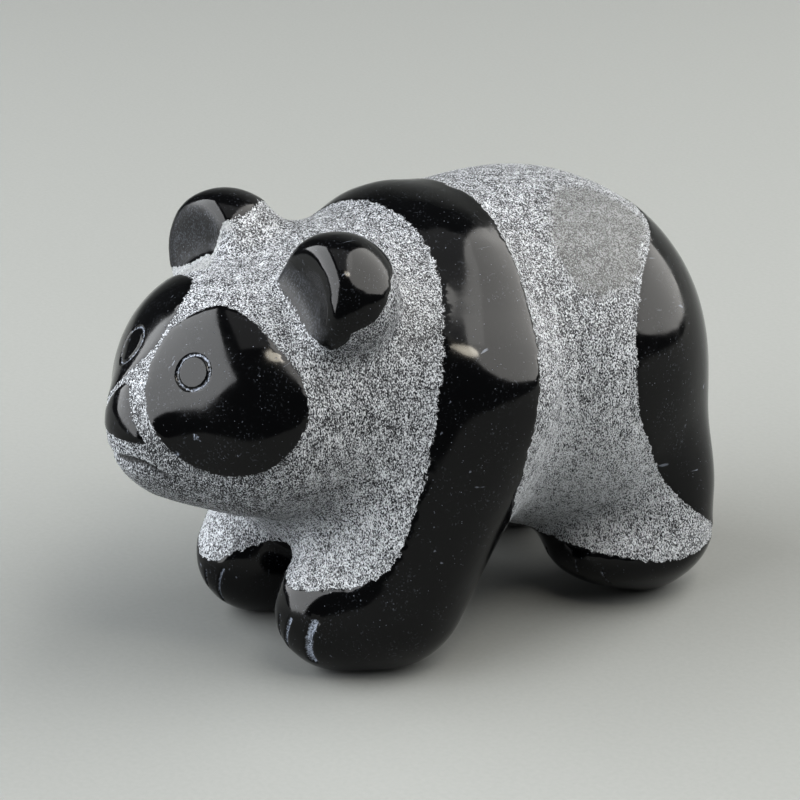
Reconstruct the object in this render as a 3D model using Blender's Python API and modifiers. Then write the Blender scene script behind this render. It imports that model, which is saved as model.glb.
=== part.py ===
"""A panda figurine carved from one piece of black stone.

The bear walks towards -Y, its left side is +X, and it stands on the flats under its four paws at z = 0.
The form is a blend of egg-shaped masses and limbs. Every place and size is in parts, 136 of them to the
whole length, so the figure keeps its pose and proportions at any length. The origin lies under the
middle of its box.
"""
from math import radians

import bmesh
import bpy
import numpy as np
from mathutils import Euler

NAME = "panda_figurine"

# Driving dimension, in metres
LENGTH = 0.136             # nose to rump
PARTS = 136                # parts in the length
PART = LENGTH / PARTS      # one part in metres

# Surface, in parts
GRAIN = 4.1                # side of the faces
FINE_NEAR_EAR = 15.0       # faces are halved this near the middle of an ear
FINE_BELOW = 3.0           # and below this height, where the paws are cut flat
FORK = ((-10, -36, 6), (12, -8, 24))    # and in this box, where the forelegs part under the chest
ROUGH_SIDES = 32           # sides of each mass as it is roughed out
LIMB_BALLS = 4             # balls that rough out a limb
SETTLE_ROUNDS = 16         # times the surface is evened out and laid on the form again
LAY_STEPS = 2              # steps towards the form in a round
EVEN = 0.5                 # how far a point goes towards its neighbours' middle in a round
LEAST_SLOPE = 0.05         # keeps a step short where the form's slope is slight
PROBE = 0.05               # step that measures the form's slope
ON_FLOOR = 0.02            # points this near the floor lie in a flat

# How softly each mass runs into the ones before it, in parts
RUMP_BLEND = 10
YOKE_BLEND = 7
MUZZLE_BLEND = 10
CHEEK_BLEND = 8
NECK_BLEND = 10
HEAD_BLEND = 12
EAR_BLEND = 4.5
RIM_BLEND = 4.0
CHEST_BLEND = 14
LEG_BLEND = 8
PAW_BLEND = 6
HAUNCH_BLEND = 8
HEEL_BLEND = 5

# The stance: the right forepaw trails the left one and stands a little further in
FORE_LAG = 2.5
FORE_IN = 2.0

# The ball that hollows the front of an ear into a shallow dish
DISH_RADIUS = 44.5
DISH_AWAY = (-3.2, -50.2, 6.4)    # its middle, from the middle of the left ear


class Egg:
    """An egg: centre, half sizes, lean about X in degrees, and how full it bulges."""

    def __init__(self, centre, half, lean=0.0, full=2.0):
        self.centre = np.array(centre, float)
        self.half = np.array(half, float)
        self.lean = Euler((radians(lean), 0, 0))
        self.full = full

    def depth(self, points):
        """How far the points lie outside the egg, under 0 inside it."""
        local = (points - self.centre) @ np.array(self.lean.to_matrix())
        ratio = np.abs(local / self.half)
        level = (ratio ** self.full).sum(1) + 1e-12
        slope = ratio ** (self.full - 1) / self.half * (level ** (1 / self.full - 1))[:, None]
        return (level ** (1 / self.full) - 1) / (np.linalg.norm(slope, axis=1) + 1e-9)

    def add(self, side):
        """The egg as a sphere in the scene, on the left where side is 1 and on the right where it is -1."""
        bpy.ops.mesh.primitive_uv_sphere_add(
            segments=ROUGH_SIDES, ring_count=ROUGH_SIDES // 2, radius=1,
            location=self.centre * (side, 1, 1), scale=self.half, rotation=self.lean)
        return bpy.context.object


class Limb:
    """A round limb between two centres, with a radius at each."""

    def __init__(self, start, end, start_radius, end_radius):
        self.start = np.array(start, float)
        self.end = np.array(end, float)
        self.radii = (start_radius, end_radius)

    def depth(self, points):
        run = self.end - self.start
        share = np.clip((points - self.start) @ run / (run @ run), 0, 1)
        radius = self.radii[0] + (self.radii[1] - self.radii[0]) * share
        return np.linalg.norm(points - self.start - share[:, None] * run, axis=1) - radius

    def eggs(self):
        """The limb as a row of balls."""
        for share in np.linspace(0, 1, LIMB_BALLS):
            radius = self.radii[0] + (self.radii[1] - self.radii[0]) * share
            yield Egg(self.start + (self.end - self.start) * share, (radius, radius, radius))


# The masses along the middle
TRUNK = Egg((0, 16, 53), (32.5, 40, 36), full=2.2)
RUMP = Egg((0, 32, 49.5), (39.5, 32, 37), lean=8, full=2.2)
YOKE = Egg((0, 0, 52), (36, 16.5, 37.5), full=2.3)
NECK = Egg((0, -19, 54.5), (32, 23, 30.5), full=2.3)
HEAD = Egg((0, -39, 56.5), (29, 26, 25), full=2.1)
MUZZLE = Egg((0, -55, 52.5), (13.5, 16.5, 15))
CHEST = Egg((0, -21, 36.5), (26, 17.5, 19.5), full=2.1)
MIDDLE = (TRUNK, RUMP, YOKE, NECK, HEAD, MUZZLE, CHEST)

# The masses of one side, as on the left
CHEEK = Egg((13, -44.5, 52.5), (14, 15, 16))
HAUNCH = Egg((21, 43.5, 23), (17.5, 15.5, 25))
HEEL = Egg((21.5, 40.5, 12), (17, 19, 10.5))

# The ears, both as if on the left: the right one sits lower and is a little larger
LEFT_EAR = Egg((20.7, -33.5, 79.5), (12.4, 12.4, 12.4))
RIGHT_EAR = Egg((19, -32.8, 78), (12.9, 12.9, 12.9))


def ear_dish(ear):
    """The ball that hollows the front of an ear."""
    return Egg(ear.centre + DISH_AWAY, (DISH_RADIUS, DISH_RADIUS, DISH_RADIUS))


def foreleg(lag, inward):
    return Limb((23.4, -5, 55.5), (21 - inward, -22 + lag, 15.5), 19.4, 16)


def forepaw(lag, inward):
    return Egg((17.2 - inward, -29.5 + lag, 13.2), (12, 15.5, 13.8))


# Each side: 1 for the left or -1 for the right, how far its foreleg trails and stands in, and its ear
SIDES = ((1, 0.0, 0.0, LEFT_EAR), (-1, FORE_LAG, FORE_IN, RIGHT_EAR))


def blend(first, second, reach):
    """The nearer of two surfaces, run softly together within reach."""
    near = np.maximum(reach - np.abs(first - second), 0) / reach
    return np.minimum(first, second) - near ** 3 * reach / 6


def form(points):
    """How far each point lies outside the whole figure, before its paws are cut flat."""
    sides = [(points * (side, 1, 1), lag, inward, ear) for side, lag, inward, ear in SIDES]
    body = TRUNK.depth(points)
    body = blend(body, RUMP.depth(points), RUMP_BLEND)
    body = blend(body, YOKE.depth(points), YOKE_BLEND)
    head = blend(HEAD.depth(points), MUZZLE.depth(points), MUZZLE_BLEND)
    for side, lag, inward, ear in sides:
        head = blend(head, CHEEK.depth(side), CHEEK_BLEND)
    head = blend(head, NECK.depth(points), NECK_BLEND)
    body = blend(body, head, HEAD_BLEND)
    for side, lag, inward, ear in sides:
        hollowed = -blend(-ear.depth(side), ear_dish(ear).depth(side), RIM_BLEND)
        body = blend(body, hollowed, EAR_BLEND)
    body = blend(body, CHEST.depth(points), CHEST_BLEND)
    for side, lag, inward, ear in sides:
        body = blend(body, foreleg(lag, inward).depth(side), LEG_BLEND)
        body = blend(body, forepaw(lag, inward).depth(side), PAW_BLEND)
        body = blend(body, HAUNCH.depth(side), HAUNCH_BLEND)
        body = blend(body, HEEL.depth(side), HEEL_BLEND)
    return body


def slope(points):
    """The form's outward slope at each point."""
    steps = np.eye(3) * PROBE
    return np.stack([form(points + step) - form(points - step) for step in steps], 1) / (2 * PROBE)


def rough_out():
    """The masses as overlapping spheres, joined and remeshed into one skin."""
    made = [egg.add(1) for egg in MIDDLE]
    for side, lag, inward, ear in SIDES:
        pieces = [CHEEK, HAUNCH, HEEL, ear, forepaw(lag, inward), *foreleg(lag, inward).eggs()]
        made += [egg.add(side) for egg in pieces]
    bpy.ops.object.select_all(action="DESELECT")
    for piece in made:
        piece.select_set(True)
    bpy.context.view_layer.objects.active = made[0]
    bpy.ops.object.join()
    figure = bpy.context.object
    bpy.ops.object.transform_apply(location=True, rotation=True, scale=True)
    skin = figure.modifiers.new("skin", "REMESH")
    skin.mode = "VOXEL"
    skin.voxel_size = GRAIN
    bpy.ops.object.modifier_apply(modifier=skin.name)
    return figure


def refine(figure):
    """Halves the faces round the ears, under the paws and between the forelegs, where the form turns fast."""
    mesh = bmesh.new()
    mesh.from_mesh(figure.data)
    near = {vert for vert in mesh.verts if vert.co.z < FINE_BELOW}
    near |= {vert for vert in mesh.verts if np.all(np.clip(vert.co, *FORK) == vert.co)}
    for side, lag, inward, ear in SIDES:
        middle = ear.centre * (side, 1, 1)
        near |= {vert for vert in mesh.verts if np.linalg.norm(np.array(vert.co) - middle) < FINE_NEAR_EAR}
    edges = [edge for edge in mesh.edges if edge.verts[0] in near and edge.verts[1] in near]
    bmesh.ops.subdivide_edges(mesh, edges=edges, cuts=1, use_grid_fill=True)
    bmesh.ops.triangulate(mesh, faces=mesh.faces)
    mesh.to_mesh(figure.data)
    mesh.free()


def settle(figure):
    """Evens the skin out and lays every point of it on the form."""
    data = figure.data
    points = np.array([vert.co for vert in data.vertices])
    edges = np.array([edge.vertices for edge in data.edges])
    degree = np.bincount(edges.ravel(), minlength=len(points))[:, None]
    for settling in range(SETTLE_ROUNDS):
        total = np.zeros_like(points)
        np.add.at(total, edges[:, 0], points[edges[:, 1]])
        np.add.at(total, edges[:, 1], points[edges[:, 0]])
        points = points + (total / degree - points) * EVEN
        for step in range(LAY_STEPS):
            outward = slope(points)
            size = np.maximum((outward ** 2).sum(1), LEAST_SLOPE)
            points = points - outward * (form(points) / size)[:, None]
    data.vertices.foreach_set("co", points.ravel())
    data.update()


def cut_flats(figure):
    """Cuts the paws off flat at z = 0, scales to metres and centres the figure over the origin."""
    mesh = bmesh.new()
    mesh.from_mesh(figure.data)
    everything = list(mesh.verts) + list(mesh.edges) + list(mesh.faces)
    cut = bmesh.ops.bisect_plane(
        mesh, geom=everything, plane_co=(0, 0, 0), plane_no=(0, 0, -1), clear_outer=True, dist=ON_FLOOR)
    rim = [item for item in cut["geom_cut"] if isinstance(item, bmesh.types.BMEdge)]
    bmesh.ops.holes_fill(mesh, edges=rim, sides=0)
    bmesh.ops.triangulate(mesh, faces=mesh.faces)
    points = np.array([vert.co for vert in mesh.verts])
    middle = (points.min(0) + points.max(0)) / 2
    for vert in mesh.verts:
        vert.co.x = (vert.co.x - middle[0]) * PART
        vert.co.y = (vert.co.y - middle[1]) * PART
        vert.co.z = vert.co.z * PART if vert.co.z > ON_FLOOR else 0
    bmesh.ops.recalc_face_normals(mesh, faces=mesh.faces)
    mesh.to_mesh(figure.data)
    mesh.free()


def stone():
    """Black polished stone."""
    material = bpy.data.materials.new("black_stone")
    material.use_nodes = True
    shader = material.node_tree.nodes["Principled BSDF"]
    shader.inputs["Base Color"].default_value = (0.03, 0.032, 0.035, 1)
    shader.inputs["Roughness"].default_value = 0.3
    shader.inputs["Metallic"].default_value = 0.0
    return material


for old in list(bpy.data.objects):
    bpy.data.objects.remove(old)

panda = rough_out()
refine(panda)
settle(panda)
cut_flats(panda)
panda.name = NAME
panda.data.name = NAME
panda.data.shade_smooth()
panda.data.materials.clear()
panda.data.materials.append(stone())
group = bpy.data.collections.new(NAME)
bpy.context.scene.collection.children.link(group)
for home in list(panda.users_collection):
    home.objects.unlink(panda)
group.objects.link(panda)
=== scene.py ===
"""Panda figurine of black stone: polished where a panda is black, pecked to a frosty grey elsewhere."""
from math import cos, pi, radians, sin

import bpy
import numpy as np
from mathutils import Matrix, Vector, noise


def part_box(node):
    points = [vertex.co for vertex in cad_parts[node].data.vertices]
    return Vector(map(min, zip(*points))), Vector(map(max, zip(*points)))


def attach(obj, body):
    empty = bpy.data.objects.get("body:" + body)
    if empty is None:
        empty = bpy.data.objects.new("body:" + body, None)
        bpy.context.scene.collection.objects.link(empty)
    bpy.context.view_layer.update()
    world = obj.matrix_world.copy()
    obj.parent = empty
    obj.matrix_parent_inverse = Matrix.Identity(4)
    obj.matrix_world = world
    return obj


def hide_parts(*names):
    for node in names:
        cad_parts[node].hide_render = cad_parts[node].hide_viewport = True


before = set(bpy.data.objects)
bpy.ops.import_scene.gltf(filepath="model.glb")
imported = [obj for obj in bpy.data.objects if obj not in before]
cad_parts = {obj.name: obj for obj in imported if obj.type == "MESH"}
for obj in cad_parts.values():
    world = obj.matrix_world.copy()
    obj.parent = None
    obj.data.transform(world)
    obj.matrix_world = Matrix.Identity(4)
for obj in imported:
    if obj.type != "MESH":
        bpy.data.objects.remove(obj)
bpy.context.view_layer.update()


# The panda is one block of black stone, shaped, ground smooth and polished all over, with nothing let in.
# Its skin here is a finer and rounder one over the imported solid. Places on the panda are in parts, as in
# the solid's own design: 135.75 of them to its length, from the origin under its middle.
LENGTH_IN_PARTS = 135.75
FACE = 0.9              # side of the skin's faces
ROUNDING = 10           # rounds of smoothing on the skin

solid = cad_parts["panda_figurine"]
low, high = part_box("panda_figurine")
PART = (high[1] - low[1]) / LENGTH_IN_PARTS


def finish_with(piece, kind, **settings):
    """Gives the piece a modifier with these settings, and applies it."""
    modifier = piece.modifiers.new(kind.lower(), kind)
    for name, value in settings.items():
        setattr(modifier, name, value)
    bpy.context.view_layer.objects.active = piece
    bpy.ops.object.modifier_apply(modifier=modifier.name)


def places_of(piece):
    """The places of the piece's points, in parts."""
    found = np.empty(len(piece.data.vertices) * 3)
    piece.data.vertices.foreach_get("co", found)
    return found.reshape(-1, 3) / PART


bpy.ops.object.select_all(action="DESELECT")
solid.select_set(True)
bpy.context.view_layer.objects.active = solid
bpy.ops.object.duplicate()
panda = bpy.context.object
panda.name = "panda_stone"
bpy.ops.object.mode_set(mode="EDIT")
bpy.ops.mesh.select_all(action="SELECT")
bpy.ops.mesh.remove_doubles(threshold=0.01 * PART)
bpy.ops.object.mode_set(mode="OBJECT")
finish_with(panda, "SUBSURF", levels=1, render_levels=1)
finish_with(panda, "REMESH", mode="VOXEL", voxel_size=FACE * PART)
finish_with(panda, "SMOOTH", factor=0.5, iterations=ROUNDING)


# The fine carving on the face and paws: a ring for each eye, the mouth and the claws, all cut with a fine
# point through the polish. The skin gets smaller faces there, so that each cut is in the mesh.
EYES = (                # middle of each ring, the way it faces, and its radius
    (Vector((12.0, -57.0, 67.5)), Vector((0.38, -0.80, 0.47)).normalized(), 3.4),
    (Vector((-7.6, -58.7, 67.7)), Vector((-0.30, -0.80, 0.52)).normalized(), 3.9),
)
RING_WIDTH = 0.6        # half the width of a ring's cut
RING_DEPTH = 0.30
MOUTH_DEPTH = 1.4
MOUTH_SHADOW_HEIGHT = 1.8        # height of the painted shadow band under its upper edge
CLAW_DEPTH = 0.5
CLAWS = (               # across and up at its top, the same at its bottom, half its width, its depth,
                        # and how far back the front of its paw begins
    (15.6, 14.0, 14.3, 9.0, 0.40, 0.8, -30),
    (19.2, 14.3, 15.9, 6.8, 0.80, 1.0, -30),
    (24.1, 14.8, 21.3, 5.2, 1.05, 1.3, -30),
    (-10.2, 13.3, -13.7, 4.7, 0.50, 1.0, -23),
    (-14.6, 12.0, -15.6, 8.0, 0.45, 0.9, -23),
    (-20.4, 13.5, -18.6, 5.0, 0.55, 1.0, -23),
    (16.5, 11.0, 16.0, 7.0, 0.45, 0.6, 34),
    (26.0, 11.6, 25.8, 8.4, 0.45, 0.6, 34),
    (31.0, 10.2, 30.6, 6.6, 0.45, 0.6, 34),
    (-16.5, 11.0, -16.0, 7.0, 0.45, 0.6, 34),
    (-26.0, 11.6, -25.8, 8.4, 0.45, 0.6, 34),
    (-31.0, 10.2, -30.6, 6.6, 0.45, 0.6, 34),
)
FINE_CUTS = 1           # cuts across a face near the carving, each time it is made finer
FINER_ROUNDS = 2


def line(along, *stations):
    """A smooth line through stations, each a place along it and an offset."""
    places, offsets = zip(*stations)
    return np.mean([np.interp(along + step, places, offsets) for step in np.linspace(-3, 3, 7)], 0)


def soft_step(value, start, end):
    """Rises smoothly from 0 at the start to 1 at the end."""
    share = np.clip((value - start) / (end - start), 0, 1)
    return share * share * (3 - 2 * share)


def eye_cut(places):
    """How near the places are to the middle of an eye's ring, 1 on it and 0 past its width."""
    nearness = np.zeros(len(places))
    for middle, facing, reach in EYES:
        offset = places - np.array(middle)
        lift = offset @ np.array(facing)
        radius = np.linalg.norm(offset - lift[:, None] * np.array(facing), axis=1)
        on_ring = np.clip(1 - np.abs(radius - reach) / RING_WIDTH, 0, 1) * (np.abs(lift) < 4)
        nearness = np.maximum(nearness, on_ring)
    return nearness


def above_mouth(places):
    """How far the places lie above the line of the mouth, far away behind its corners."""
    mouth = line(np.abs(places[:, 0] + 0.4), (-4, 49.6), (0, 48.7), (4.5, 49.9), (7.5, 49.6), (9.4, 48.6),
                 (10.9, 46.0), (12, 43.0))
    return np.where((places[:, 1] < -57) & (np.abs(places[:, 0]) < 15), places[:, 2] - mouth, 99)


def claw_cut(places):
    """How deep the places lie in a claw's groove, and 0 past its width."""
    deepest = np.zeros(len(places))
    for top_across, top, bottom_across, bottom, width, depth, back in CLAWS:
        share = (top - places[:, 2]) / (top - bottom)
        beside = places[:, 0] - top_across - (bottom_across - top_across) * np.clip(share, 0, 1)
        past_end = np.maximum(np.maximum(bottom - places[:, 2], places[:, 2] - top), 0)
        in_cut = np.clip(1 - np.hypot(beside, past_end) / width, 0, 1) * depth
        deepest = np.maximum(deepest, in_cut * (places[:, 1] < back) * (places[:, 1] > back - 20))
    return deepest


def near_carving(places):
    """Which places lie in or next to the fine carving."""
    rings = np.zeros(len(places), bool)
    for middle, facing, reach in EYES:
        rings |= np.linalg.norm(places - np.array(middle), axis=1) < reach + 1.8
    mouth = np.abs(above_mouth(places) + 0.5) < 2.5
    claws = np.zeros(len(places), bool)
    for top_across, top, bottom_across, bottom, width, depth, back in CLAWS:
        share = np.clip((top - places[:, 2]) / (top - bottom), 0, 1)
        beside = np.abs(places[:, 0] - top_across - (bottom_across - top_across) * share)
        claws |= ((beside < 1.8) & (places[:, 2] > bottom - 1.5) & (places[:, 2] < top + 1.5)
                  & (places[:, 1] < back) & (places[:, 1] > back - 20))
    return rings | mouth | claws


def make_finer(piece, where):
    """Subdivides the piece's faces that lie wholly where it is needed."""
    mesh = piece.data
    corners = np.empty(len(mesh.loops), int)
    mesh.loops.foreach_get("vertex_index", corners)
    starts = np.empty(len(mesh.polygons), int)
    mesh.polygons.foreach_get("loop_start", starts)
    chosen = np.logical_and.reduceat(where(places_of(piece))[corners], starts)
    bpy.context.tool_settings.mesh_select_mode = (False, False, True)
    bpy.ops.object.mode_set(mode="EDIT")
    bpy.ops.mesh.select_all(action="DESELECT")
    bpy.ops.object.mode_set(mode="OBJECT")
    mesh.polygons.foreach_set("select", chosen)
    bpy.ops.object.mode_set(mode="EDIT")
    bpy.ops.mesh.subdivide(number_cuts=FINE_CUTS)
    bpy.ops.object.mode_set(mode="OBJECT")


for finer in range(FINER_ROUNDS):
    make_finer(panda, near_carving)
finish_with(panda, "SMOOTH", factor=0.5, iterations=3)


# The polish is left where a panda's fur is black: a yoke round the shoulders that runs down both forelegs,
# the rump and hind legs, the ears, a pear-shaped patch round each eye, and the wedge of the nose.
# Everything between is pecked away a little with a point, so that the polished fields stand slightly proud.
EAR_REACH = 15.6        # how far from an ear's middle its black may run, seen from above
LEFT_EAR = (20.7, -29.9, 79.5)
LEFT_EAR_FOOT = (       # how high the black begins, at each turn round the ear from the front to the left
    (-180, 87.5), (-143, 88.6), (-93, 87.5), (-72, 85.7), (-62, 82.1), (-35, 79.0), (10, 75.1), (48, 71.9),
    (64, 73.8), (68, 75.8), (93, 78.2), (106, 80.9), (120, 84.2), (150, 86.5), (180, 87.5))
RIGHT_EAR = (-19.0, -29.2, 78.0)
RIGHT_EAR_FOOT = (
    (-180, 87.0), (-120, 83.5), (-106, 80.5), (-58, 73.0), (3, 77.4), (43, 80.6), (54, 86.7), (71, 87.5),
    (111, 88.4), (143, 88.6), (180, 87.0))
DISH_RADIUS = 44.5      # the hollow of an ear's front
DISH_AWAY = (-3.2, -50.2, 6.4)
PATCHES = ((15.2, -51.4, 63.8), (-12.9, -50.8, 65.7))
PATCH_FACING = (0.65, -0.65, 0.40)
PATCH_REACH = (         # how far a patch runs from its middle, at each turn from its outer side upwards
    (0, 15.4), (20, 13.5), (40, 12.5), (60, 12.7), (80, 14.2), (100, 16.3), (180, 15.8), (260, 16.1),
    (300, 17.2), (340, 16.8))
EAR_RIDGE = (           # across and up: the dull front of the left ear ends under this line
    (13.4, 85.5), (19.3, 84.1), (24.5, 81.7), (26.0, 77.0))
RUBBED_SHEEN = (22, 34, 79.5) # middle of the smoother rubbed spot on the back, with its painted reflection
RUBBED_SHEEN_REACH = (        # how far it runs, at each turn from its outer side towards the rump
    (-180, 14.1), (-122, 11.9), (-82, 13.5), (-47, 16.2), (-32, 16.0), (-17, 14.0), (51, 8.3), (96, 14.2),
    (142, 13.7), (180, 14.1))
STROKES_AND_SHADE = (             # how far out, back and up, and how much darker than usual the grey is there: partly sparser strokes, partly painted shade and light
    (7, -32, 83, 0.01), (29, -30, 59, 0.03), (21, -13, 79, 0.02), (15, -55, 43, 0.09), (28, -30, 44, -0.09),
    (25, -30, 29, -0.06), (12, 18, 87, 0.04), (35, 20, 62, 0.05), (36, 21, 46, -0.14), (32, 23, 32, -0.24),
    (37, 41, 18, -0.06), (6, -63, 45, 0.05), (0, -7, 86, 0.05))
STROKE_SPREAD = 250     # square of how far each of these places tells
USUAL_SHARE = 0.1       # weight of the usual strokes against them
CHIPS = (               # place and reach of each
    (12.1, -61.4, 51.8, 0.8), (15.3, -59.0, 55.9, 0.6), (15.9, -58.6, 55.2, 0.4))
CHIP_SHARE = 0.75       # how white the chips and the rings are beside the claws
PECKED_DEPTH = 0.24     # how far the pecked fields lie below the polish
PECKED_DENTS = 0.10     # how uneven they are


def shoulder_field(places):
    """How far the places lie outside the yoke and the forelegs."""
    x, y, z = places.T
    front = line(z, (22, -29), (25.2, -26.6), (31.3, -24.0), (40.3, -21.0), (52.1, -17.9), (63.5, -15.6),
                 (71.6, -11.9), (76, -8.8), (81, -6.1), (85.1, -5.0), (88, -3.6))
    rear = line(z, (10, 7), (25, 4), (31, 1.5), (35.9, 0.1), (47.2, 1.3), (57.7, 2.2), (69.2, 6.7),
                (77.6, 9.5), (83.8, 10.1), (88.5, 12.7))
    left_paw = line(y, (-44, 19.4), (-39.2, 20.0), (-33.6, 21.3), (-29.6, 22.9), (-26.5, 25.5), (-20, 36))
    right_paw = line(y, (-42, 10.0), (-38.7, 14.4), (-36.6, 16.9), (-33.5, 18.3), (-28, 20), (-20, 34))
    paw = np.where(x > 0, left_paw, right_paw)
    return np.maximum(np.minimum(front - y, z - paw), y - rear)


def rump_field(places):
    """How far the places lie outside the rump and the hind legs."""
    x, y, z = places.T
    front = line(z, (11, 62), (15, 57), (20, 49.7), (27.4, 41.7), (35.1, 37.3), (45.8, 31.3), (54.6, 30.3),
                 (64.3, 31.5), (74.2, 37.1), (78.8, 47.0), (84, 64))
    paw = line(y, (16, 15.6), (26.5, 14.8), (30.2, 14.0), (37, 12.2), (47.1, 11.0), (53, 11.6), (64, 12))
    inner = np.max([np.abs(x) - 25, 46 - y, z - 30], 0)
    return np.min([front - y, np.maximum(z - paw, 16 - y), inner], 0)


def ear_field(places, middle, foot):
    """How far the places lie outside the black of an ear."""
    offset = places - middle
    turn = np.degrees(np.arctan2(offset[:, 0], -offset[:, 1]))
    return np.maximum(np.interp(turn, *zip(*foot)) - places[:, 2], np.hypot(*offset.T[:2]) - EAR_REACH)


def patch_field(places):
    """How far the places lie outside the two eye patches."""
    facing = Vector(PATCH_FACING).normalized()
    up = (Vector((0, 0, 1)) - facing * facing.z).normalized()
    across = up.cross(facing)
    fields = []
    for middle in PATCHES:
        offset = (places - middle) * (np.sign(middle[0]), 1, 1)
        right, above = offset @ np.array(across), offset @ np.array(up)
        turn = np.degrees(np.arctan2(above, right))
        reach = np.interp(turn, *zip(*PATCH_REACH), period=360)
        fields.append(np.where(offset @ np.array(facing) > -12, np.hypot(right, above) - reach, 99))
    return np.minimum(*fields)


def nose_field(places):
    """How far the places lie outside the nose, a wedge with its point upwards."""
    x, y, z = places.T
    wedge = np.maximum(np.maximum(z - 62.8, 53.2 - z), np.abs(x + 0.85) - 1.3 - (62.6 - z) * 0.78)
    return np.where(y < -58, wedge, 99)


def chance(places, size):
    """A smooth chance from -1 to 1 that turns over in this size."""
    return np.array([noise.noise(Vector(place / size)) for place in places])


def keep_on_points(piece, name, values):
    """Keeps one number for each of the piece's points, for its material to read."""
    layer = piece.data.attributes.new(name, "FLOAT", "POINT")
    layer.data.foreach_set("value", values)


places = places_of(panda)
outward = np.empty(len(places) * 3)
panda.data.vertices.foreach_get("normal", outward)
outward = outward.reshape(-1, 3)
coarse, middling, fine = chance(places, 3.1), chance(places, 1.3), chance(places, 0.6)

left_ear = ear_field(places, LEFT_EAR, LEFT_EAR_FOOT)
right_ear = ear_field(places, RIGHT_EAR, RIGHT_EAR_FOOT)
fields = (shoulder_field(places), rump_field(places), left_ear, right_ear, patch_field(places),
          nose_field(places))
ragged = (0.6, 0.6, 0.35, 0.35, 0.28, 0.15)     # how ragged the edge of each field is
uneven = middling + 0.6 * fine + 0.4 * coarse
polish = np.min([field + rag * uneven for field, rag in zip(fields, ragged)], 0)
pecked = soft_step(polish, -0.1, 0.5)

rings = eye_cut(places)
claws = claw_cut(places)
over_lip = above_mouth(places)
corner = 1 - soft_step(places[:, 1], -64.5, -58.5)
lip = np.where(over_lip > 0, 1 - soft_step(over_lip, 0, 0.5), 1 - soft_step(-over_lip, 0.2, 3.2))
lip = lip * corner * (over_lip < 90)
# The mouth mask is painted shadow: a dark band under the lip's upper edge, where the crease is shaded.
mouth = soft_step(-over_lip, -0.2, 0.3) * corner
mouth *= 1 - soft_step(-over_lip, MOUTH_SHADOW_HEIGHT - 0.7, MOUTH_SHADOW_HEIGHT)

sink = pecked * (PECKED_DEPTH + PECKED_DENTS * (coarse + 0.6 * middling))
sink += soft_step(rings, 0, 0.8) * RING_DEPTH * (1 + 0.45 * fine)
sink += soft_step(claws, 0, 0.9) * CLAW_DEPTH * (1 + 0.45 * fine)
sink += lip * MOUTH_DEPTH
carved = (places - outward * sink[:, None]) * PART
carved[:, 2] = np.maximum(carved[:, 2], 0)
panda.data.vertices.foreach_set("co", carved.ravel())
panda.data.update()

# The dished fronts of the ears are hazed, the left one only below its ridge.
ear_fronts = np.zeros(len(places))
for middle in (LEFT_EAR, RIGHT_EAR):
    side = np.sign(middle[0])
    dish = np.linalg.norm(places - middle - np.array(DISH_AWAY) * (side, 1, 1), axis=1)
    in_ear = np.linalg.norm(places - np.array(middle), axis=1) < 14
    ear_fronts = np.maximum(ear_fronts, (1 - soft_step(np.abs(dish - DISH_RADIUS), 0.3, 1.4)) * in_ear)
under_ridge = soft_step(np.interp(places[:, 0], *zip(*EAR_RIDGE)) - places[:, 2], -0.6, 0.8)
ear_fronts *= np.where(places[:, 0] > 0, under_ridge, 1)

# A whitish strip runs along the foot of the right ear's front.
worn = (1 - soft_step(right_ear, 1.2, 2.0)) * (places[:, 1] < -33)

# On the left of the back the pecking is rubbed down to a smoother spot, and a softbox's reflection in it is
# painted as an even grey: partly wear, partly painted reflection.
offset = places - RUBBED_SHEEN
slope = (offset[:, 0] - offset[:, 2]) / 2 ** 0.5
turn = np.degrees(np.arctan2(offset[:, 1], slope))
inside = np.interp(turn, *zip(*RUBBED_SHEEN_REACH)) - np.hypot(slope, offset[:, 1])
rubbed_sheen = soft_step(inside + 1.5 * coarse, -0.6, 1.6)
rubbed_sheen *= (places[:, 0] > 0) & (places[:, 2] > 60)

# The grey is darker under the chin and along the back than low on the flanks, alike on both sides: partly
# where the point struck less often, partly painted shade under the chin and along the back and painted
# light low on the flanks.
one_side = np.column_stack([np.abs(places[:, 0]), places[:, 1:]])
total, weight = 0, USUAL_SHARE
for out, back, up, darker_by in STROKES_AND_SHADE:
    nearness = np.exp(-np.sum((one_side - (out, back, up)) ** 2, 1) / STROKE_SPREAD)
    total = total + darker_by * nearness
    weight = weight + nearness
bare_and_shade = total / weight

chipped = np.zeros(len(places))
for across, back, up, reach in CHIPS:
    distance = np.linalg.norm(places - (across, back, up), axis=1)
    chipped = np.maximum(chipped, np.clip(1.6 - distance / reach, 0, 1))
cuts = np.max([CHIP_SHARE * rings, np.minimum(claws, 1), CHIP_SHARE * chipped], 0)

keep_on_points(panda, "polish", polish)
keep_on_points(panda, "cuts", cuts)
keep_on_points(panda, "mouth", mouth)
keep_on_points(panda, "haze", ear_fronts)
keep_on_points(panda, "worn", worn)
keep_on_points(panda, "rubbed_sheen", rubbed_sheen)
keep_on_points(panda, "bare_and_shade", bare_and_shade)
bpy.ops.object.select_all(action="DESELECT")
panda.select_set(True)
bpy.context.view_layer.objects.active = panda
bpy.ops.object.shade_smooth()
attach(panda, "root")
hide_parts("panda_figurine")


# The stone is near black and fine-grained. Its polish mirrors the room, with a few specks and hair
# scratches, and each stroke of the point has bruised it to a whitish fleck beside a dark gap.
def put(tree, kind, settings=None, **sockets):
    """Adds a node with its settings. A socket is given a value or another node's socket."""
    made = tree.nodes.new(kind)
    for name, value in (settings or {}).items():
        setattr(made, name, value)
    for name, value in sockets.items():
        socket = made.inputs[int(name[1:])] if name[0] == "i" and name[1:].isdigit() else made.inputs[name]
        if isinstance(value, bpy.types.NodeSocket):
            tree.links.new(value, socket)
        else:
            socket.default_value = value
    return made


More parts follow.
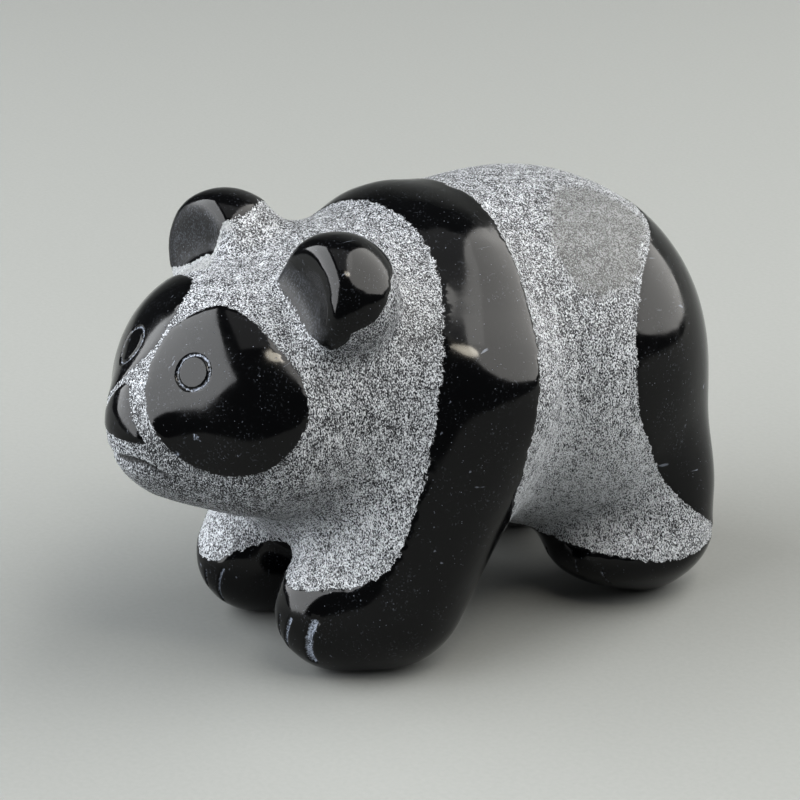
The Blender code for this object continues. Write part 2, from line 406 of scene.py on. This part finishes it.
def sum_up(tree, operation, first, second, third=0.0):
    """The result of one sum."""
    return put(tree, "ShaderNodeMath", {"operation": operation}, i0=first, i1=second, i2=third).outputs[0]


def between(tree, value, start, end, low=0.0, high=1.0):
    """Rises smoothly from low to high as the value goes from start to end."""
    settings = {"interpolation_type": "SMOOTHSTEP"}
    made = put(tree, "ShaderNodeMapRange", settings, i0=value, i1=start, i2=end, i3=low, i4=high)
    return made.outputs["Result"]


def mixed(tree, share, first, second):
    """The first colour where the share is 0, the second where it is 1."""
    made = put(tree, "ShaderNodeMix", {"data_type": "RGBA"})
    for name, value in (("Factor_Float", share), ("A_Color", first), ("B_Color", second)):
        socket = next(item for item in made.inputs if item.identifier == name)
        if isinstance(value, bpy.types.NodeSocket):
            tree.links.new(value, socket)
        else:
            socket.default_value = value
    return next(item for item in made.outputs if item.identifier == "Result_Color")


def new_group(name, takes, gives):
    """An empty shader group with these inputs and outputs."""
    group = bpy.data.node_groups.new(name, "ShaderNodeTree")
    for label, kind in takes:
        group.interface.new_socket(label, in_out="INPUT", socket_type=kind)
    for label, kind in gives:
        group.interface.new_socket(label, in_out="OUTPUT", socket_type=kind)
    return group, group.nodes.new("NodeGroupInput").outputs, group.nodes.new("NodeGroupOutput").inputs


flecks, given, result = new_group(
    "point_flecks",
    (("Vector", "NodeSocketVector"), ("Per Metre", "NodeSocketFloat"), ("Bare And Shade", "NodeSocketFloat")),
    (("Fleck", "NodeSocketFloat"), ("Height", "NodeSocketFloat")))
strokes = put(flecks, "ShaderNodeTexNoise", Vector=given["Vector"], Scale=given["Per Metre"],
              Detail=1.5, Roughness=0.6)
drift = put(flecks, "ShaderNodeTexNoise", Vector=given["Vector"],
            Scale=sum_up(flecks, "MULTIPLY", given["Per Metre"], 0.12), Detail=2.0)
chips = put(flecks, "ShaderNodeTexVoronoi", Vector=given["Vector"],
            Scale=sum_up(flecks, "MULTIPLY", given["Per Metre"], 1.15))
cell = put(flecks, "ShaderNodeSeparateColor", Color=chips.outputs["Color"])
stroke = between(flecks, strokes.outputs["Fac"], 0.32, 0.68)
level = sum_up(flecks, "MULTIPLY_ADD", cell.outputs["Red"], 0.5, sum_up(flecks, "MULTIPLY", stroke, 0.5))
level = sum_up(flecks, "MULTIPLY_ADD", drift.outputs["Fac"], 0.5, sum_up(flecks, "SUBTRACT", level, 0.25))
# Fewer flecks where this input is high: sparser pecking, and also painted shade, with painted light where
# it is below zero.
level = sum_up(flecks, "SUBTRACT", level, given["Bare And Shade"])
flecks.links.new(between(flecks, level, 0.21, 0.94), result["Fleck"])
flecks.links.new(sum_up(flecks, "MULTIPLY_ADD", cell.outputs["Green"], 0.35, stroke), result["Height"])

stone = bpy.data.materials.new("black_stone")
stone.use_nodes = True
tree = stone.node_tree
shader = tree.nodes["Principled BSDF"]
spot = put(tree, "ShaderNodeTexCoord").outputs["Object"]


def read(name):
    """What the panda's points keep under this name."""
    return put(tree, "ShaderNodeAttribute", {"attribute_name": name}).outputs["Fac"]


pecking = tree.nodes.new("ShaderNodeGroup")
pecking.node_tree = flecks
stretched = put(tree, "ShaderNodeMapping", Vector=spot, Scale=(1.1, 1.0, 0.66)).outputs["Vector"]
tree.links.new(stretched, pecking.inputs["Vector"])
pecking.inputs["Per Metre"].default_value = 4000.0
tree.links.new(read("bare_and_shade"), pecking.inputs["Bare And Shade"])

torn = put(tree, "ShaderNodeTexNoise", Vector=spot, Scale=1900.0, Detail=2.0).outputs["Fac"]
edge = sum_up(tree, "ADD", read("polish"), sum_up(tree, "MULTIPLY_ADD", torn, 1.0, -0.5))
rough_field = between(tree, edge, -0.06, 0.1)
cut_marks = between(tree, sum_up(tree, "MULTIPLY_ADD", torn, 1.3, read("cuts")), 1.0, 1.45, 0, 0.8)
cut_grain = between(tree, pecking.outputs["Fleck"], 0.0, 0.55, 0.3, 1.0)
cut_marks = sum_up(tree, "MULTIPLY", cut_marks, cut_grain)
haze_marks = sum_up(tree, "MULTIPLY", pecking.outputs["Fleck"], read("haze"))
haze_marks = between(tree, haze_marks, 0.3, 1.0, 0, 0.11)

specks = put(tree, "ShaderNodeTexVoronoi", Vector=spot, Scale=1400.0)
speck_cell = put(tree, "ShaderNodeSeparateColor", Color=specks.outputs["Color"])
is_speck = between(tree, speck_cell.outputs["Red"], 0.66, 1.1, 0, 0.45)
speck = sum_up(tree, "MULTIPLY", is_speck, between(tree, specks.outputs["Distance"], 0.20, 0.08))
scratch_way = put(tree, "ShaderNodeMapping", Vector=spot, Rotation=(0.6, 0.9, 0.35), Scale=(1.0, 0.06, 0.5))
scratch_noise = put(tree, "ShaderNodeTexNoise", Vector=scratch_way.outputs["Vector"], Scale=1100.0,
                    Detail=2.0).outputs["Fac"]
scratch = between(tree, scratch_noise, 0.71, 0.78, 0, 0.3)
scars = sum_up(tree, "MAXIMUM", sum_up(tree, "MAXIMUM", speck, scratch),
               sum_up(tree, "MAXIMUM", cut_marks, haze_marks))

cloud = put(tree, "ShaderNodeTexNoise", Vector=spot, Scale=220.0, Detail=3.0).outputs["Fac"]
dust = sum_up(tree, "MULTIPLY", between(tree, torn, 0.58, 0.72, 0, 0.09), between(tree, cloud, 0.42, 0.62))
marked = sum_up(tree, "MAXIMUM", scars, dust)

gap = (0.016, 0.017, 0.020, 1)
fleck = (0.57, 0.59, 0.62, 1)
bruised = (0.40, 0.44, 0.52, 1)
black = (0.0018, 0.0019, 0.0023, 1)
pecked_colour = mixed(tree, pecking.outputs["Fleck"], gap, fleck)
whitish = (0.33, 0.34, 0.345, 1)
sheen_grey = (0.125, 0.127, 0.125, 1)
pecked_colour = mixed(tree, sum_up(tree, "MULTIPLY", read("worn"), 0.8), pecked_colour, whitish)
# Painted reflection: the rubbed spot takes an even grey that stands for a softbox's sheen on it.
pecked_colour = mixed(tree, sum_up(tree, "MULTIPLY", read("rubbed_sheen"), 0.6), pecked_colour, sheen_grey)
polished_colour = mixed(tree, marked, black, bruised)
colour = mixed(tree, rough_field, polished_colour, pecked_colour)
# Painted shadow: the crease under the mouth's upper edge is darkened towards black.
colour = mixed(tree, sum_up(tree, "MULTIPLY", read("mouth"), 0.85), colour, black)
tree.links.new(colour, shader.inputs["Base Color"])

gloss = between(tree, cloud, 0.3, 0.7, 0.08, 0.15)
gloss = sum_up(tree, "MULTIPLY_ADD", sum_up(tree, "MAXIMUM", scars, read("haze")), 0.35, gloss)
dull = sum_up(tree, "MULTIPLY_ADD", pecking.outputs["Fleck"], 0.35, 0.20)
roughness = put(tree, "ShaderNodeMix", {"data_type": "FLOAT"}, i0=rough_field, i2=gloss, i3=dull)
tree.links.new(roughness.outputs[0], shader.inputs["Roughness"])

height = sum_up(tree, "MULTIPLY", pecking.outputs["Height"], rough_field)
height = sum_up(tree, "MULTIPLY_ADD", sum_up(tree, "MAXIMUM", cut_marks, speck), -0.6, height)
bump = put(tree, "ShaderNodeBump", Height=height, Strength=0.6, Distance=0.00016)
tree.links.new(bump.outputs["Normal"], shader.inputs["Normal"])
shader.inputs["IOR"].default_value = 1.46
shader.inputs["Metallic"].default_value = 0.0
panda.data.materials.clear()
panda.data.materials.append(stone)


# The floor is a sheet of pale grey paper that sweeps up behind the panda.
PAPER_TURN = 32.0       # which way the sheet runs out, round from the panda's front, in degrees
PAPER = 3.6             # width of the sheet, in metres
PAPER_FRONT = 0.31      # how far it runs towards the camera from the panda
PAPER_BACK = 1.5        # and behind it, to the bend
PAPER_RISE = 1.6
PAPER_BEND = 0.5

bpy.ops.object.select_all(action="DESELECT")
bpy.ops.mesh.primitive_plane_add(size=1, location=(0, 0, 0))
paper = bpy.context.object
paper.name = "paper_sweep"
bpy.ops.object.mode_set(mode="EDIT")
bpy.context.tool_settings.mesh_select_mode = (False, True, False)
bpy.ops.mesh.select_all(action="DESELECT")
bpy.ops.object.mode_set(mode="OBJECT")
for point in paper.data.vertices:
    point.co.x *= PAPER
    point.co.y = PAPER_BACK if point.co.y > 0 else -PAPER_FRONT
for side in paper.data.edges:
    side.select = all(paper.data.vertices[index].co.y > 0 for index in side.vertices)
bpy.ops.object.mode_set(mode="EDIT")
bpy.ops.mesh.extrude_region_move(TRANSFORM_OT_translate={"value": (0, 0, PAPER_RISE)})
bpy.ops.object.mode_set(mode="OBJECT")
for side in paper.data.edges:
    ends = [paper.data.vertices[index].co for index in side.vertices]
    side.select = all(end.y > 0 and end.z < 0.01 for end in ends)
bpy.ops.object.mode_set(mode="EDIT")
bpy.ops.mesh.bevel(offset=PAPER_BEND, segments=24)
bpy.ops.object.mode_set(mode="OBJECT")
bpy.ops.object.shade_smooth()
paper.rotation_euler.z = radians(PAPER_TURN)
bpy.ops.object.transform_apply(location=True, rotation=True, scale=True)

sheet = bpy.data.materials.new("grey_paper")
sheet.use_nodes = True
tree = sheet.node_tree
spot = put(tree, "ShaderNodeTexCoord").outputs["Object"]
fibre = put(tree, "ShaderNodeTexNoise", Vector=spot, Scale=900.0, Detail=3.0).outputs["Fac"]
tint = mixed(tree, fibre, (0.228, 0.234, 0.228, 1), (0.252, 0.258, 0.252, 1))
tree.links.new(tint, tree.nodes["Principled BSDF"].inputs["Base Color"])
tree.nodes["Principled BSDF"].inputs["Roughness"].default_value = 0.85
paper.data.materials.append(sheet)


# Two large softboxes light the panda, one from its front and one along its left flank, with a small warm
# lamp near the camera and a dim one overhead. The rest of the room is dark.
MIDDLE = Vector((0, 0, 0.05))


def way(turn, rise):
    """The direction at this turn from the panda's front towards its left, and this rise, in degrees."""
    turn, rise = radians(turn), radians(rise)
    return Vector((sin(turn) * cos(rise), -cos(turn) * cos(rise), sin(rise)))


def softbox(name, shape, turn, rise, away, middle, size, roll, glow, tint):
    """A lamp on a board this far off, square to this direction.

    Its middle and size are in metres, the way the turn grows and up, and its roll in degrees."""
    light = bpy.data.lights.new(name, "AREA")
    light.shape = shape
    light.size, light.size_y = size
    area = size[0] * size[1] * (pi / 4 if shape == "ELLIPSE" else 1)
    light.energy = glow * pi * area
    light.color = tint
    facing = way(turn, rise)
    onward = way(turn + 90, 0)
    placed = bpy.data.objects.new(name, light)
    placed.location = MIDDLE + facing * away + onward * middle[0] + facing.cross(onward) * middle[1]
    placed.rotation_euler = facing.to_track_quat("Z", "Y").to_euler()
    placed.rotation_euler.rotate_axis("Z", radians(roll))
    bpy.context.scene.collection.objects.link(placed)


softbox("front_softbox", "RECTANGLE", -26, 29, 1.2, (0, 0), (1.92, 1.36), -18, 5.3, (0.97, 0.985, 1.0))
softbox("flank_softbox", "ELLIPSE", 135, 39, 1.2, (0.40, 0.03), (2.8, 1.70), -19, 4.1, (1.0, 0.985, 0.955))
softbox("overhead_softbox", "RECTANGLE", 60, 85, 1.4, (0, 0), (1.1, 1.1), 0, 0.8, (1.0, 1.0, 1.0))
softbox("small_lamp", "ELLIPSE", 73, 56, 1.5, (0, 0), (0.40, 0.25), -20, 13.0, (1.0, 0.94, 0.82))

world = bpy.data.worlds.new("dark_room")
bpy.context.scene.world = world
world.use_nodes = True
world.node_tree.nodes["Background"].inputs["Color"].default_value = (0.9, 0.95, 1.0, 1)
world.node_tree.nodes["Background"].inputs["Strength"].default_value = 0.09


# The camera looks down on the panda from its front left.
VIEW_TURN = 53.5        # its way round from the panda's front, in degrees
VIEW_RISE = 21.0
VIEW_AWAY = 0.6
AIM = Vector((-0.0044, 0.0036, 0.043))
lens = bpy.data.cameras.new("camera")
lens.sensor_width = 36
lens.lens = 130.4
lens.clip_start = 0.01
camera = bpy.data.objects.new("camera", lens)
camera.location = AIM + way(VIEW_TURN, VIEW_RISE) * VIEW_AWAY
camera.rotation_euler = way(VIEW_TURN, VIEW_RISE).to_track_quat("Z", "Y").to_euler()
bpy.context.scene.collection.objects.link(camera)
bpy.context.scene.camera = camera
bpy.context.scene.view_settings.view_transform = "Standard"
bpy.context.scene.view_settings.gamma = 0.76
bpy.context.scene.view_settings.exposure = 0.15
